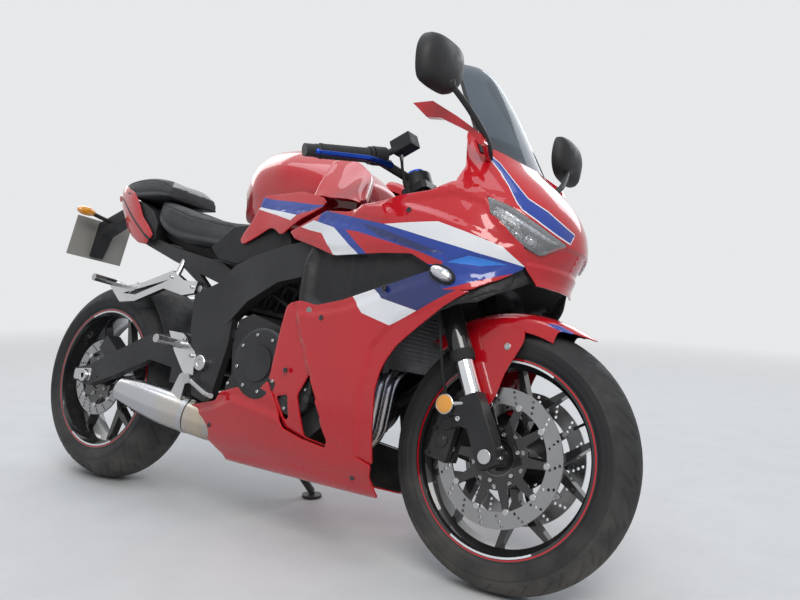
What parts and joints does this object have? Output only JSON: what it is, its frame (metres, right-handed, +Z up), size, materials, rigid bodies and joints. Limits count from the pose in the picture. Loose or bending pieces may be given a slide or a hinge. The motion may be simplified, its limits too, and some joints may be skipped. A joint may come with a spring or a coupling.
{
  "type": "sport motorcycle",
  "caption": "Fully faired sport motorcycle leaning on its side stand, with steering fork, turning wheels, stepped seats and a low side silencer.",
  "frame": {"origin": "floor, middle of the whole machine's box as it stands on its side stand", "axes": "+X forward along the machine, +Y to the rider's left, +Z up from the floor; the machine leans 12 degrees towards +Y"},
  "size_m": [2.0649, 0.8384, 1.2326],
  "materials": {
    "red_paint": "gloss",
    "blue_paint": "gloss",
    "satin_black_paint": "satin",
    "black_plastic": "matte",
    "tyre_rubber": "matte",
    "rubber": "matte",
    "disc_steel": "brushed",
    "brushed_steel": "brushed",
    "chrome": "polished",
    "polished_aluminium": "polished",
    "grey_metal": "satin",
    "radiator_aluminium": "matte",
    "caliper_metal": "satin",
    "seat_leather": "matte",
    "lens_plastic": "gloss",
    "clear_lens": "gloss",
    "tinted_glass": "gloss"
  },
  "bodies": {
    "chassis": {"main_frame": "satin_black_paint", "seat_rails": "satin_black_paint", "swingarm": "satin_black_paint", "rear_axle": "brushed_steel", "shock_absorber": "grey_metal", "drive_chain": "brushed_steel", "rear_caliper": "caliper_metal", "rear_hugger": "satin_black_paint", "engine_block": "grey_metal", "cylinder_head": "grey_metal", "exhaust_headers": "chrome", "silencer": "brushed_steel", "radiator": "radiator_aluminium", "fuel_tank": "red_paint", "filler_cap": "brushed_steel", "rider_seat": "seat_leather", "pillion_seat": "seat_leather", "tail_cowl": "red_paint", "tail_tray": "black_plastic", "tail_lamp": "lens_plastic", "number_plate": "polished_aluminium", "indicators": "lens_plastic", "upper_fairings": "red_paint", "lower_fairings": "red_paint", "belly_fairings": "red_paint", "tank_shrouds": "blue_paint", "fairing_linings": "black_plastic", "nose_cowl": "red_paint", "head_lamps": "clear_lens", "nose_stay": "satin_black_paint", "instrument_panel": "black_plastic", "windscreen": "tinted_glass", "mirrors": "black_plastic", "mirror_blades": "red_paint", "side_covers": "black_plastic", "foot_plates": "polished_aluminium", "foot_pedals": "black_plastic", "foot_pegs": "polished_aluminium", "pillion_hangers": "polished_aluminium"},
    "steering": {"fork_tubes": "grey_metal", "fork_sliders": "chrome", "fork_feet": "polished_aluminium", "front_axle": "brushed_steel", "triple_clamps": "satin_black_paint", "handlebars": "rubber", "hand_levers": "polished_aluminium", "bar_controls": "black_plastic", "front_mudguard": "red_paint", "front_calipers": "caliper_metal", "brake_hose": "rubber"},
    "front_wheel": {"front_rim": "satin_black_paint", "front_tyre": "tyre_rubber", "front_discs": "disc_steel"},
    "rear_wheel": {"rear_rim": "satin_black_paint", "rear_tyre": "tyre_rubber", "rear_disc": "disc_steel", "rear_sprocket": "brushed_steel"},
    "side_stand": {"side_stand": "satin_black_paint"}
  },
  "joints": [
    {"name": "steering", "type": "hinge", "parent": "chassis", "child": "steering", "pos_m": [0.48312, -0.06993, 0.71997], "axis": [-0.43, 0.1904, 0.8825], "range_deg": [-24, 24]},
    {"name": "front_wheel_spin", "type": "hinge", "parent": "steering", "child": "front_wheel", "pos_m": [0.73245, -0.16169, 0.29469], "axis": [0, 0.9775, -0.2109], "continuous": true},
    {"name": "rear_wheel_spin", "type": "hinge", "parent": "chassis", "child": "rear_wheel", "pos_m": [-0.71754, -0.15837, 0.31008], "axis": [0, 0.9775, -0.2109], "continuous": true},
    {"name": "side_stand_fold", "type": "hinge", "parent": "chassis", "child": "side_stand", "pos_m": [-0.15757, -0.05426, 0.23311], "axis": [-0.2706, 0.9411, -0.2029], "range_deg": [0, 110]}
  ]
}
